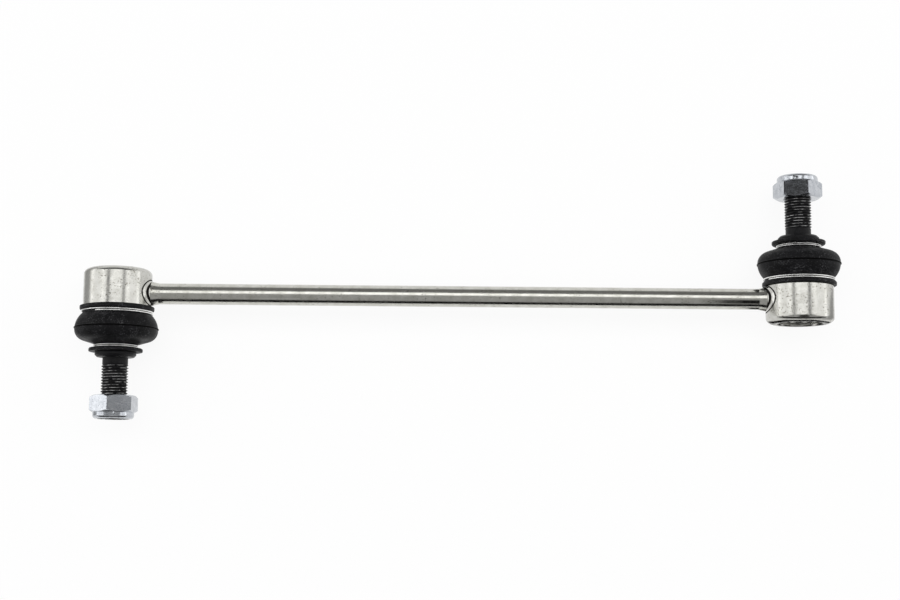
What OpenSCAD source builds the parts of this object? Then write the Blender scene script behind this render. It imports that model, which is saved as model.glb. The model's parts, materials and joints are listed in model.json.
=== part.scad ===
// Stabilizer link: a steel rod with a ball joint welded to each end.
// The rod lies along X. The left stud points to -Y and the right stud to +Y.
// Heights named below are measured along a stud, from the rod's axis towards the nut.

/* [Rod] */
// Distance between the two stud axes
link_length = 306; // [220:1:420]
// Diameter of the rod
rod_d = 9.4; // [8:0.1:10.5]
// Diameter of the rod's flared ends
rod_end_d = 10.8; // [10.6:0.1:11]
// Length of the flare
rod_flare = 3.4; // [2:0.1:6]
// Diameter of the weld collar where it meets the rod
weld_collar_d = 10.9; // [10.7:0.1:11.2]
// How far the weld collar stands proud of the housing
weld_collar_proud = 0.3; // [0.2:0.05:0.4]
// Bevel of the rod's ends at the weld seam
weld_bevel = 0.4; // [0.1:0.05:0.5]

/* [Housing] */
// Outer diameter of the housing
housing_d = 30.2; // [29:0.1:33]
// Wall of the housing around the ball seat
housing_wall = 2.95; // [2.5:0.05:3.4]
// Depth of the closed end below the rod's axis
housing_depth = 11; // [10.2:0.1:13]
// Step from the side of the weld collar to the shoulder that the boot sits on
shoulder_step = 0.15; // [0.05:0.05:0.6]
// Thickness of the inner shoulder that keeps the ball seat in
mouth_t = 2.8; // [2:0.1:3]
// Depth of the groove that the boot's bead sits in
boot_groove = 1.75; // [1.2:0.05:2]
// Height of that groove
boot_groove_h = 4.2; // [3.9:0.05:4.6]
// How far the rim above that groove stands out
boot_rim_proud = 0.6; // [0.3:0.05:0.8]
// Thickness of that rim
boot_rim_t = 0.8; // [0.5:0.1:1]
// Radius of the rolled outer edge
edge_r = 2.6; // [1:0.1:2.8]
// Thickness of the rolled rim that holds the cover plate
rim_t = 1.1; // [0.8:0.1:1.4]
// Width of the rolled rim, from the cover pocket inwards
rim_w = 3.6; // [2.5:0.1:4.5]
// Slope of the rim's inner edge, as a step in radius
rim_slope = 0.7; // [0.2:0.1:1]

/* [Cover plate] */
// Thickness of the sheet
cover_t = 1.4; // [1:0.1:1.5]
// How far the cover's pocket is wider than the bore, on the radius
cover_step = 1.1; // [0.8:0.1:1.3]
// Diameter of the pressed dimple
dimple_d = 12.3; // [9:0.1:13]
// Depth of the dimple
dimple_depth = 0.7; // [0.3:0.1:0.9]

/* [Ball stud] */
// Diameter of the ball
ball_d = 18; // [17:0.1:18.4]
// Height of the ball's centre
ball_height = 2.6; // [2.2:0.1:3]
// Diameter of the neck above the ball
neck_d = 10.5; // [9:0.1:10.8]
// Largest tilt of the stud to each side, in degrees
swing = 25; // [15:1:25]
// Diameter of the seat for the boot's neck
boot_seat_d = 13.6; // [12.6:0.1:14.6]
// Length of that seat
boot_seat_l = 5.4; // [5:0.1:7]
// Length of the taper from the neck to that seat
boot_seat_taper = 3.1; // [2:0.1:4]
// Height of the collar's underside
collar_height = 26.5; // [26:0.1:30]
// Diameter of the collar
collar_d = 18.3; // [16:0.1:20]
// Thickness of the collar
collar_t = 2.2; // [1.6:0.1:4]
// Bevel on the collar's nut side
collar_bevel = 0.9; // [0.3:0.1:1.2]
// Diameter of the plain shank
shank_d = 11.3; // [10.6:0.1:11.5]
// Length of the plain shank
shank_l = 2.9; // [1:0.1:6]
// Diameter over the thread, as a plain cylinder
thread_d = 11.86; // [11.7:0.01:12]
// Length of the thread
thread_l = 24.3; // [18:0.1:40]
// Bevel on the stud's tip
tip_bevel = 1.2; // [0.5:0.1:1.6]
// Width across the flats of the key socket in the stud's tip
socket_af = 5; // [4:0.5:6]
// Depth of the key socket
socket_depth = 5; // [3:0.1:8]

/* [Boot] */
// Wall of the boot
boot_wall = 1.9; // [1.4:0.1:2.2]
// Diameter of the lip that sits on the housing
boot_lip_d = 32.9; // [32:0.1:36]
// Thickness of that lip
boot_lip_t = 1.8; // [1.5:0.1:2.2]
// Diameter of the bulge
boot_d = 36.8; // [36:0.1:40]
// Height of the widest part of the bulge
boot_mid_height = 16.6; // [16:0.1:17.2]
// Radius of the upper shoulder of the bulge
boot_shoulder_r = 5; // [4:0.1:5.4]
// Height of the parting seam
seam_height = 16.2; // [15:0.1:17]
// Width of the parting seam
seam_w = 0.6; // [0.3:0.1:1]
// How far the seam stands out
seam_proud = 0.3; // [0.1:0.05:0.6]
// Diameter of the lip under the stud's collar
neck_lip_d = 23.8; // [22:0.1:26]
// Thickness of that lip
neck_lip_t = 1.6; // [1.2:0.1:2]
// Wall of the boot's neck inside the small clip
neck_wall = 2.15; // [1.8:0.05:2.8]

/* [Clips] */
// Wire of the large clip
large_wire = 0.75; // [0.6:0.05:0.9]
// Wire of the small clip
small_wire = 0.62; // [0.5:0.02:0.7]
// Rubber left between the housing's groove and the large clip
large_clip_wall = 1.5; // [1.3:0.05:2]
// Angle from the rod at which the left large clip's wire starts
large_clip_left = 114; // [0:1:359]
// Angle from the rod at which the right large clip's wire starts
large_clip_right = 236; // [0:1:359]
// Angle from the rod at which the left small clip's wire starts
small_clip_left = 205; // [0:1:359]
// Angle from the rod at which the right small clip's wire starts
small_clip_right = 200; // [0:1:359]
// Angle that a clip's wire runs through from end to end
clip_sweep = 575; // [480:5:585]
// Angle from the wire's start to where it crosses to the other turn
clip_cross_at = 260; // [230:1:280]
// Angle over which it crosses
clip_cross = 40; // [20:1:50]

/* [Nut] */
// Width across the nut's flats
nut_af = 19; // [18:0.1:20]
// Height of the hexagon
nut_hex_h = 7.6; // [6:0.1:10]
// Diameter of the rolled collar
nut_collar_d = 18.2; // [17.6:0.1:18.6]
// Height of the rolled collar
nut_collar_h = 2.8; // [2.6:0.1:4]
// How far the nut stands past the stud's tip
nut_past_tip = 0.3; // [0:0.1:1]
// How far the hexagon's corners are bevelled in from the flats
nut_bevel = 0.25; // [0.1:0.05:0.6]
// Turn of the left nut about its stud, in degrees
nut_turn_left = -26; // [-30:1:30]
// Turn of the right nut about its stud, in degrees
nut_turn_right = -16; // [-30:1:30]
// Depth of the nylon ring
insert_h = 2; // [1.5:0.1:2.2]
// Diameter of the opening above the nylon ring
insert_opening_d = 14.2; // [13.4:0.1:15]
// Thickness of the rolled lip over the nylon ring
insert_lip = 0.6; // [0.4:0.1:0.8]
// Wall of the rolled collar around the nylon ring
insert_wall = 1.1; // [0.9:0.1:1.4]

/* [Fits] */
// Running clearance of round fits, on the radius
running = 0.05; // [0.02:0.01:0.1]
// Clearance around rubber
soft_gap = 0.3; // [0.2:0.05:0.4]
// Clearance between a clip and the rubber under it
clip_room = 0.12; // [0.05:0.01:0.2]
// Room around the tilting neck
swing_gap = 0.3; // [0.2:0.05:0.5]
// Bevel on the ball seat's lower edge
seat_bevel = 0.75; // [0.3:0.05:1]

/* [Hidden] */
$fn = 96;
left = -1;
right = 1;
// A cut runs this far past the face that it opens
past = 1;

// Housing, cover plate and seat
housing_r = housing_d / 2;
bore_r = housing_r - housing_wall;
pocket_r = bore_r + cover_step;
cover_floor = rim_t - housing_depth;
cover_top = cover_floor + cover_t;
rim_opening_r = pocket_r - rim_w;
shoulder_height = weld_collar_d / 2 + weld_collar_proud + shoulder_step;
groove_r = housing_r - boot_groove;
boot_rim_r = groove_r + boot_rim_proud;
boot_rim_base = shoulder_height + boot_groove_h;
housing_height = boot_rim_base + boot_rim_t;
mouth_base = housing_height - mouth_t;
seat_r = bore_r - running;
seat_base = cover_top + running;
seat_top = mouth_base - running;
ball_r = ball_d / 2;
seat_hole_r = dimple_d / 2 + swing_gap;
// Bend of the sheet around the dimple, as a step in radius
dimple_slope = dimple_depth;

// Rod and weld collar, which slopes at 45 degrees down to a root inside the housing
weld_plane = housing_r + weld_collar_proud;
weld_root = (weld_plane + weld_collar_d / 2) / 2;
rod_half = link_length / 2 - weld_plane;

// Stud
neck_r = neck_d / 2;
boot_seat_r = boot_seat_d / 2;
boot_seat_base = collar_height - boot_seat_l;
taper_base = boot_seat_base - boot_seat_taper;
collar_top = collar_height + collar_t;
thread_base = collar_top + shank_l;
thread_r = thread_d / 2;
shank_r = shank_d / 2;
tip = thread_base + thread_l;
socket_corner_r = socket_af / 2 / cos(30);

// Boot, from the housing upwards
boot_base = shoulder_height + soft_gap / 2;
lip_top = boot_base + boot_lip_t;
bead_r = groove_r + soft_gap;
over_rim_r = boot_rim_r + soft_gap;
large_floor_r = bead_r + large_clip_wall;
large_pitch = large_wire + 2 * running;
large_base = lip_top + clip_room;
large_top = large_base + large_pitch + large_wire + clip_room;
flank_r = large_floor_r + large_wire / 2;
boot_r = boot_d / 2;
flank_step = boot_r - flank_r;
flank_rise = boot_mid_height - large_top;
flank_arc = (flank_step * flank_step + flank_rise * flank_rise) / (2 * flank_step);
shoulder_axis = boot_r - boot_shoulder_r;

// Boot, from the collar downwards
boot_top = collar_height - soft_gap / 2;
neck_lip_base = boot_top - neck_lip_t;
neck_in_r = boot_seat_r + soft_gap;
small_floor_r = neck_in_r + neck_wall;
small_pitch = small_wire + 2 * running;
small_base = neck_lip_base - clip_room - small_pitch - small_wire;
neck_base = small_base - clip_room;
// The line from the shoulder's arc to the neck is a tangent, and leaves the arc at this angle
neck_dr = small_floor_r - shoulder_axis;
neck_ds = neck_base - boot_mid_height;
shoulder_end = atan2(neck_ds, neck_dr) - acos(boot_shoulder_r / norm([neck_dr, neck_ds]));

// Nut
nut_base = tip + nut_past_tip - nut_hex_h - nut_collar_h;
nut_h = nut_hex_h + nut_collar_h;
nut_corner_r = nut_af / 2 / cos(30);
nut_bevel_r = nut_af / 2 - nut_bevel;
nut_bevel_h = (nut_corner_r - nut_bevel_r) * tan(30);
nut_bore_r = thread_r + running;
nut_collar_r = nut_collar_d / 2;
nut_roll_r = nut_collar_h / 2;
insert_top = nut_h - insert_lip;
insert_base = insert_top - insert_h;
insert_r = nut_collar_r - insert_wall;

// Points of an arc in a profile, from angle a to angle b
function arc(centre, r, a, b, steps = 10) =
    [for (i = [0:steps]) centre + r * [cos(a + (b - a) * i / steps), sin(a + (b - a) * i / steps)]];

// Stands a joint's piece, drawn along Z with the rod towards +X, at its end of the rod
module at_joint(side) {
    turn = side > 0 ? 180 : 0;
    translate([side * link_length / 2, 0, 0])
        rotate([0, 0, turn])
            rotate([90, 0, 0])
                children();
}

// Cone that the neck sweeps when the stud tilts
module swing_room() {
    room_h = housing_height + past - ball_height;
    base_r = neck_r / cos(swing) + swing_gap;
    translate([0, 0, ball_height])
        cylinder(h = room_h, r1 = base_r, r2 = base_r + room_h * tan(swing));
}

module rod() {
    outline = [
        [0, -rod_half],
        [rod_end_d / 2 - weld_bevel, -rod_half],
        [rod_end_d / 2, -rod_half + weld_bevel],
        [rod_d / 2, -rod_half + rod_flare],
        [rod_d / 2, rod_half - rod_flare],
        [rod_end_d / 2, rod_half - weld_bevel],
        [rod_end_d / 2 - weld_bevel, rod_half],
        [0, rod_half]
    ];
    color("silver")
        rotate([0, 90, 0])
            rotate_extrude()
                polygon(outline);
}

module weld_collar(side) {
    outline = [
        [0, weld_root],
        [weld_root, weld_root],
        [weld_collar_d / 2, weld_plane],
        [0, weld_plane]
    ];
    color("gainsboro")
        at_joint(side)
            difference() {
                rotate([0, 90, 0])
                    rotate_extrude()
                        polygon(outline);
                cylinder(h = 2 * housing_d, r = housing_r, center = true);
            }
}

module housing(side) {
    edge = arc([housing_r - edge_r, edge_r - housing_depth], edge_r, -90, 0);
    shell = concat([[0, -housing_depth]], edge, [
        [housing_r, shoulder_height],
        [groove_r, shoulder_height],
        [groove_r, boot_rim_base],
        [boot_rim_r, boot_rim_base],
        [boot_rim_r, housing_height],
        [0, housing_height]
    ]);
    rim_cut_h = rim_t + past;
    rim_cut_r = rim_opening_r + rim_slope * rim_cut_h / rim_t;
    color("silver")
        at_joint(side)
            difference() {
                rotate_extrude()
                    polygon(shell);
                translate([0, 0, cover_floor])
                    cylinder(h = cover_t, r = pocket_r);
                translate([0, 0, cover_floor])
                    cylinder(h = mouth_base - cover_floor, r = bore_r);
                translate([0, 0, cover_floor - rim_cut_h])
                    cylinder(h = rim_cut_h, r1 = rim_cut_r, r2 = rim_opening_r);
                swing_room();
            }
}

module cover_plate(side) {
    dimple_r = dimple_d / 2;
    plate_r = pocket_r - running;
    sheet = [
        [0, cover_floor + dimple_depth],
        [dimple_r - dimple_slope, cover_floor + dimple_depth],
        [dimple_r, cover_floor],
        [plate_r, cover_floor],
        [plate_r, cover_top],
        [dimple_r, cover_top],
        [dimple_r - dimple_slope, cover_top + dimple_depth],
        [0, cover_top + dimple_depth]
    ];
    color("gainsboro")
        at_joint(side)
            rotate_extrude()
                polygon(sheet);
}

module ball_seat(side) {
    cup = [
        [seat_hole_r, seat_base],
        [seat_r - seat_bevel, seat_base],
        [seat_r, seat_base + seat_bevel],
        [seat_r, seat_top],
        [0, seat_top],
        [0, ball_height],
        [seat_hole_r, ball_height]
    ];
    color("ivory")
        at_joint(side)
            difference() {
                rotate_extrude()
                    polygon(cup);
                translate([0, 0, ball_height])
                    sphere(r = ball_r + running);
                swing_room();
            }
}

module ball_stud(side) {
    shaft = [
        [0, ball_height],
        [neck_r, ball_height],
        [neck_r, taper_base],
        [boot_seat_r, boot_seat_base],
        [boot_seat_r, collar_height],
        [collar_d / 2, collar_height],
        [collar_d / 2, collar_top - collar_bevel],
        [collar_d / 2 - collar_bevel, collar_top],
        [shank_r, collar_top],
        [shank_r, thread_base - thread_r + shank_r],
        [thread_r, thread_base],
        [thread_r, tip - tip_bevel],
        [thread_r - tip_bevel, tip],
        [0, tip]
    ];
    color("dimgray")
        at_joint(side)
            difference() {
                union() {
                    translate([0, 0, ball_height])
                        sphere(r = ball_r);
                    rotate_extrude()
                        polygon(shaft);
                }
                translate([0, 0, tip - socket_depth])
                    cylinder(h = socket_depth + past, r = socket_corner_r, $fn = 6);
            }
}

module boot(side) {
    flank_centre = [boot_r - flank_arc, boot_mid_height];
    shoulder_centre = [shoulder_axis, boot_mid_height];
    flank_in = flank_arc - boot_wall;
    shoulder_in = boot_shoulder_r - boot_wall;
    cavity_base = housing_height + soft_gap;
    // Where the arcs of the shoulder and of the flank take over from each other
    shoulder_start = 6;
    flank_in_end = -3;
    flank_start = asin((large_top - boot_mid_height) / flank_arc);
    flank_in_start = asin((cavity_base + soft_gap - boot_mid_height) / flank_in);
    slope_start = shoulder_centre + shoulder_in * [cos(shoulder_end), sin(shoulder_end)];
    slope_l = (slope_start[0] - neck_in_r) / sin(shoulder_end);
    slope_end = slope_start + slope_l * [-sin(shoulder_end), cos(shoulder_end)];
    outside = concat([
        [boot_lip_d / 2, boot_base],
        [boot_lip_d / 2, lip_top],
        [large_floor_r, lip_top],
        [large_floor_r, large_top]
    ],
        arc(flank_centre, flank_arc, flank_start, 0),
        arc(shoulder_centre, boot_shoulder_r, shoulder_start, shoulder_end),
    [
        [small_floor_r, neck_base],
        [small_floor_r, neck_lip_base],
        [neck_lip_d / 2, neck_lip_base],
        [neck_lip_d / 2, boot_top]
    ]);
    inside = concat([
        [neck_in_r, boot_top],
        slope_end
    ],
        arc(shoulder_centre, shoulder_in, shoulder_end, 0),
        arc(flank_centre, flank_in, flank_in_end, flank_in_start),
    [
        [over_rim_r, cavity_base],
        [over_rim_r, boot_rim_base - soft_gap],
        [bead_r, boot_rim_base - soft_gap],
        [bead_r, boot_base]
    ]);
    seam_in = boot_r - boot_wall / 2;
    color([0.12, 0.12, 0.13])
        at_joint(side)
            union() {
                rotate_extrude()
                    polygon(concat(outside, inside));
                rotate_extrude()
                    translate([seam_in, seam_height - seam_w / 2])
                        square([boot_r + seam_proud - seam_in, seam_w]);
            }
}

// A wire clip: one wire, laid round twice side by side, that crosses once from one turn to the other
module wire_clip(r, base, wire, pitch, start) {
    sides = 8;
    step = 9;
    rings = floor(clip_sweep / step);
    wire_r = wire / 2;
    cross_from = clip_cross_at - clip_cross / 2;
    points = [for (i = [0:rings]) let (
            a = clip_sweep * i / rings,
            t = min(1, max(0, (a - cross_from) / clip_cross)),
            drop = pitch * t * t * (3 - 2 * t)
        ) for (k = [0:sides - 1]) let (
            b = 360 * k / sides,
            radius = r + wire_r * cos(b),
            height = base + wire_r + pitch - drop + wire_r * sin(b)
        ) [radius * cos(start - a), radius * sin(start - a), height]];
    walls = [for (i = [0:rings - 1]) for (k = [0:sides - 1]) let (
            n = (k + 1) % sides,
            p = i * sides,
            q = p + sides
        ) each [[p + k, q + n, p + n], [p + k, q + k, q + n]]];
    caps = [[for (k = [0:sides - 1]) k], [for (k = [sides - 1:-1:0]) rings * sides + k]];
    polyhedron(points = points, faces = concat(walls, caps), convexity = 6);
}

module large_clip(side, start) {
    clip_r = large_floor_r + clip_room + large_wire / 2;
    color("whitesmoke")
        at_joint(side)
            wire_clip(clip_r, large_base, large_wire, large_pitch, start);
}

module small_clip(side, start) {
    clip_r = small_floor_r + clip_room + small_wire / 2;
    color("whitesmoke")
        at_joint(side)
            wire_clip(clip_r, small_base, small_wire, small_pitch, start);
}

module nut(side, turn) {
    barrel = [
        [0, 0],
        [nut_bevel_r, 0],
        [nut_corner_r, nut_bevel_h],
        [nut_corner_r, nut_hex_h - nut_bevel_h],
        [nut_bevel_r, nut_hex_h],
        [0, nut_hex_h]
    ];
    roll = arc([nut_collar_r - nut_roll_r, nut_h - nut_roll_r], nut_roll_r, 0, 90);
    rolled_collar = concat([[0, nut_hex_h / 2], [nut_collar_r, nut_hex_h / 2]], roll, [[0, nut_h]]);
    color("lightsteelblue")
        at_joint(side)
            translate([0, 0, nut_base])
                rotate([0, 0, turn])
                    difference() {
                        union() {
                            intersection() {
                                cylinder(h = nut_hex_h, r = nut_corner_r, $fn = 6);
                                rotate_extrude()
                                    polygon(barrel);
                            }
                            rotate_extrude()
                                polygon(rolled_collar);
                        }
                        translate([0, 0, -past])
                            cylinder(h = nut_h + 2 * past, r = nut_bore_r);
                        translate([0, 0, insert_base - running])
                            cylinder(h = insert_h + 2 * running, r = insert_r + running);
                        translate([0, 0, insert_top])
                            cylinder(h = insert_lip + past, d = insert_opening_d);
                    }
}

module nut_insert(side) {
    color("linen")
        at_joint(side)
            translate([0, 0, nut_base + insert_base])
                difference() {
                    cylinder(h = insert_h, r = insert_r);
                    translate([0, 0, -past])
                        cylinder(h = insert_h + 2 * past, r = nut_bore_r);
                }
}

rod();
weld_collar(left);  // weld_collar_left
weld_collar(right);  // weld_collar_right
housing(left);  // housing_left
housing(right);  // housing_right
cover_plate(left);  // cover_plate_left
cover_plate(right);  // cover_plate_right
ball_seat(left);  // ball_seat_left
ball_seat(right);  // ball_seat_right
ball_stud(left);  // ball_stud_left
ball_stud(right);  // ball_stud_right
boot(left);  // boot_left
boot(right);  // boot_right
large_clip(left, large_clip_left);
large_clip(right, large_clip_right);
small_clip(left, small_clip_left);
small_clip(right, small_clip_right);
nut(left, nut_turn_left);  // nut_left
nut(right, nut_turn_right);  // nut_right
nut_insert(left);  // nut_insert_left
nut_insert(right);  // nut_insert_right
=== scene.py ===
"""Looks of a stabilizer link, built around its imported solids.

All lengths are in metres. The pieces of a ball joint are modelled upright, with the stud along +Z, the
rod towards +X and the rod's axis at height 0, and are then laid at their end of the rod.
"""

import json
import logging
import math
from collections.abc import Callable
from dataclasses import dataclass
from enum import Enum
from itertools import pairwise

import bpy
from mathutils import Matrix, Vector


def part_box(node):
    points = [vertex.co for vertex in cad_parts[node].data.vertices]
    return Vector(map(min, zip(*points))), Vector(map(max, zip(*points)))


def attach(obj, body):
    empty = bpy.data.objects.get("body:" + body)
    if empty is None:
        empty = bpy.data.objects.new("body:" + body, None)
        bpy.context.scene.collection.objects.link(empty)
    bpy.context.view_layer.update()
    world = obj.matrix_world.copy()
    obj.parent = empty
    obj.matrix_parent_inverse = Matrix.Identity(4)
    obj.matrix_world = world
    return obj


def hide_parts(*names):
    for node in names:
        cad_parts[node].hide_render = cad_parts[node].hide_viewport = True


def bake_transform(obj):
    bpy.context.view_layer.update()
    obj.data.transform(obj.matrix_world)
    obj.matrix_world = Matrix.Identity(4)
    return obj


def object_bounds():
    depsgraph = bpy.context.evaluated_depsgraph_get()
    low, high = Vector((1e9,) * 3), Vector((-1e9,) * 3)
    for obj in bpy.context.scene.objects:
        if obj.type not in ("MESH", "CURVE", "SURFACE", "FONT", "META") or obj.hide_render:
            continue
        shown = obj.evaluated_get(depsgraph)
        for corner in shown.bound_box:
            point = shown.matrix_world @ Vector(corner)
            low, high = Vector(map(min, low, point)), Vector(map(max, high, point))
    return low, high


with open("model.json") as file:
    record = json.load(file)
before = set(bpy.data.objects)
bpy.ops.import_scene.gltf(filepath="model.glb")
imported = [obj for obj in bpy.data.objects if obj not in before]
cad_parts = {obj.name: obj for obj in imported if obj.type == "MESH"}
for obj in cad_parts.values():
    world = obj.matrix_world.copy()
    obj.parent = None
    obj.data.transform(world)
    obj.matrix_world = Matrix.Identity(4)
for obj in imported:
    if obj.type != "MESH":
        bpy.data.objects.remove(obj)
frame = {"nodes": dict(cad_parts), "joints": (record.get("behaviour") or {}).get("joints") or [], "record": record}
CAD_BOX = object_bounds()

LOG = logging.getLogger("stabilizer_link")
SEAM_MARK = "seam"
MM = 0.001
TURN_STEPS = 96
ARC_STEPS = 14
FILLET_STEPS = 5
BEVEL_STEPS = 3
# Largest share of an edge that a fillet at one of its ends takes up
FILLET_SHARE = 0.49
WELD_REACH = 0.002 * MM
SMOOTH_ANGLE = math.radians(38)
BEVEL_ANGLE = math.radians(24)
QUARTER_TURN = math.pi / 2
WHITE = (1.0, 1.0, 1.0)
BLACK = (0.0, 0.0, 0.0)
# Inputs of the shared effects that are vectors, while all the others are values
VECTOR_INPUTS = ("Vector", "Stretch")
# Numbers of a Mix node's sockets for colours: share and both colours, and the result
MIX_INPUTS = (0, 6, 7)
MIX_RESULT = 2

Pair = tuple[float, float]
Triple = tuple[float, float, float]
Piece = bpy.types.Object
Material = bpy.types.Material
Node = bpy.types.Node
Socket = bpy.types.NodeSocket
Value = float | Socket


class Side(Enum):
    """The two ends of the link, by the sign of their place along X."""

    LEFT = -1
    RIGHT = 1

    @property
    def word(self) -> str:
        """The side's name as the nodes and bodies spell it."""
        return self.name.lower()


class Slot(Enum):
    """The record's material slots, which the pieces of this script do not take."""

    ZINC_STEEL = "zinc_steel"
    BRIGHT_ZINC = "bright_zinc"
    BLACK_STEEL = "black_steel"
    SPRING_WIRE = "spring_wire"
    RUBBER = "rubber"


# Profiles


@dataclass(frozen=True)
class Corner:
    """A corner of a turned profile, with the radius that breaks its edge."""

    radius: float
    height: float
    fillet: float = 0.0


class Profile:
    """A turned piece's profile of radius and height, drawn corner by corner."""

    def __init__(self, *corners: tuple[float, ...]) -> None:
        """Starts a profile with corners as the method through takes them."""
        self.corners: list[Corner] = []
        self.through(*corners)

    def through(self, *corners: tuple[float, ...]) -> "Profile":
        """Adds corners, each as radius, height and, where it is rounded off, a fillet's radius."""
        self.corners += [Corner(*corner) for corner in corners]
        return self

    def arc(self, centre: Pair, radius: float, start: float, end: float) -> "Profile":
        """Adds a round stretch.

        Args:
            centre: Radius and height of the arc's centre.
            radius: The arc's own radius.
            start: Angle of its first point, in radians from the radius direction.
            end: Angle of its last point.

        Returns:
            The profile itself, to chain calls.
        """
        for i in range(ARC_STEPS + 1):
            a = start + (end - start) * i / ARC_STEPS
            self.through((centre[0] + radius * math.cos(a), centre[1] + radius * math.sin(a)))
        return self

    def points(self, closed: bool) -> list[Pair]:
        """Gives the profile's points with its corners rounded off.

        Args:
            closed: Whether the last corner joins the first.

        Returns:
            Radius and height of each point, with the first repeated at the end of a closed profile.
        """
        found: list[Pair] = []
        spots = [Vector((corner.radius, corner.height)) for corner in self.corners]
        count = len(spots)
        for i, corner in enumerate(self.corners):
            at_end = not closed and i in (0, count - 1)
            if corner.fillet <= 0 or at_end:
                found.append(tuple(spots[i]))
            else:
                found += round_off(spots[i], spots[i - 1], spots[(i + 1) % count], corner.fillet)
        return found + found[:1] if closed else found


def round_off(here: Vector, before: Vector, after: Vector, fillet: float) -> list[Pair]:
    """Rounds one corner of a profile.

    Args:
        here: The corner.
        before: The corner before it.
        after: The corner after it.
        fillet: The radius wanted, which is cut down where an edge is too short for it.

    Returns:
        The points of the arc that takes the corner's place.
    """
    back, on = before - here, after - here
    half = back.angle(on) / 2
    run = min(fillet / math.tan(half), back.length * FILLET_SHARE, on.length * FILLET_SHARE)
    radius = run * math.tan(half)
    centre = here + (back.normalized() + on.normalized()).normalized() * radius / math.sin(half)
    first, last = here + back.normalized() * run - centre, here + on.normalized() * run - centre
    turn = first.angle_signed(last)
    found = []
    for i in range(FILLET_STEPS + 1):
        spoke = first.copy()
        spoke.rotate(Matrix.Rotation(-turn * i / FILLET_STEPS, 2))
        found.append(tuple(centre + spoke))
    return found


# Modelling steps


def choose(piece: Piece) -> None:
    """Makes a piece the only selected and the active object.

    Args:
        piece: The piece.
    """
    bpy.ops.object.select_all(action="DESELECT")
    piece.select_set(True)
    bpy.context.view_layer.objects.active = piece


def named(name: str) -> Piece:
    """Names the object that was added last, with its mesh, and gives it."""
    bpy.context.object.name = bpy.context.object.data.name = name
    return bpy.context.object


def start_point(name: str) -> Piece:
    """Adds a plane, merges it to one vertex at the origin and leaves it in edit mode.

    Args:
        name: Name of the new piece.

    Returns:
        The new object.
    """
    bpy.ops.mesh.primitive_plane_add(size=MM)
    piece = named(name)
    bpy.ops.object.mode_set(mode="EDIT")
    bpy.ops.mesh.merge(type="CENTER")
    return piece


def draw_wire(outline: list[Pair]) -> None:
    """Extrudes the one vertex in edit mode along an outline.

    Args:
        outline: Places along X and Z.
    """
    bpy.ops.transform.translate(value=(outline[0][0], 0, outline[0][1]))
    for (r0, h0), (r1, h1) in pairwise(outline):
        step = (r1 - r0, 0, h1 - h0)
        bpy.ops.mesh.extrude_vertices_move(TRANSFORM_OT_translate={"value": step})
    bpy.ops.mesh.select_all(action="SELECT")


def weld_points() -> None:
    """Merges doubled points in edit mode, turns all faces outwards and goes back to object mode."""
    bpy.ops.mesh.select_all(action="SELECT")
    bpy.ops.mesh.remove_doubles(threshold=WELD_REACH)
    bpy.ops.mesh.dissolve_degenerate(threshold=WELD_REACH)
    bpy.ops.mesh.select_all(action="SELECT")
    bpy.ops.mesh.normals_make_consistent(inside=False)
    bpy.ops.object.mode_set(mode="OBJECT")


def turned(name: str, profile: Profile, closed: bool = False, steps: int = TURN_STEPS) -> Piece:
    """Spins a profile about Z.

    Args:
        name: Name of the new piece.
        profile: The profile to spin.
        closed: Whether the profile is a loop, as of a ring, and not a line.
        steps: Faces round the piece.

    Returns:
        The new object, in object mode.
    """
    piece = start_point(name)
    draw_wire(profile.points(closed))
    bpy.ops.mesh.spin(steps=steps, angle=math.tau, center=(0, 0, 0), axis=(0, 0, 1))
    weld_points()
    return piece


def joined(pieces: list[Piece]) -> Piece:
    """Joins pieces into the first of them and welds where they meet.

    Args:
        pieces: The pieces, which share their edge points.

    Returns:
        The first piece, with all the rest in it.
    """
    choose(pieces[0])
    for other in pieces[1:]:
        other.select_set(True)
    bpy.ops.object.join()
    bpy.ops.object.mode_set(mode="EDIT")
    weld_points()
    return pieces[0]


def modify(piece: Piece, kind: str, **settings: object) -> None:
    """Adds a modifier to a piece and applies it.

    Args:
        piece: The piece.
        kind: The modifier's type name.
        **settings: The modifier's own properties.
    """
    choose(piece)
    bpy.ops.object.modifier_add(type=kind)
    step = piece.modifiers[-1]
    for key, value in settings.items():
        setattr(step, key, value)
    bpy.ops.object.modifier_apply(modifier=step.name)


def combine(piece: Piece, tool: Piece, operation: str) -> None:
    """Changes a piece by a Boolean with a tool, and removes the tool."""
    modify(piece, "BOOLEAN", operation=operation, solver="EXACT", object=tool)
    bpy.data.objects.remove(tool)


def lay(piece: Piece, place: Matrix) -> None:
    """Moves a piece to its place and leaves that place in its mesh.

    Args:
        piece: The piece.
        place: Where it goes.
    """
    piece.matrix_world = place
    choose(piece)
    bpy.ops.object.transform_apply(location=True, rotation=True, scale=True)


def complete(piece: Piece, place: Matrix, finish: Material, node: str,
             angle: float = SMOOTH_ANGLE) -> None:
    """Shades a modelled piece, lays it in its place and says which node it stands for.

    Args:
        piece: The piece.
        place: Where it goes.
        finish: Its material.
        node: The node that it replaces.
        angle: Edges sharper than this stay sharp.
    """
    choose(piece)
    bpy.ops.object.shade_smooth_by_angle(angle=angle)
    modify(piece, "WEIGHTED_NORMAL", keep_sharp=True)
    lay(piece, place)
    piece.data.materials.clear()
    piece.data.materials.append(finish)
    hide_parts(node)
    LOG.info("%s: %d faces for %s", piece.name, len(piece.data.polygons), node)


def burn(piece: Piece, scale: Material, where: Callable[[Vector], bool]) -> None:
    """Paints the faces in the grooves beside a weld with a near-black material, as painted shade in the grooves.

    Args:
        piece: The finished piece.
        scale: The near-black material of the painted groove shade.
        where: Tells from a face's middle whether the face gets the painted shade.
    """
    piece.data.materials.append(scale)
    for face in piece.data.polygons:
        if where(face.center):
            face.material_index = len(piece.data.materials) - 1


# Shader parts


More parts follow.
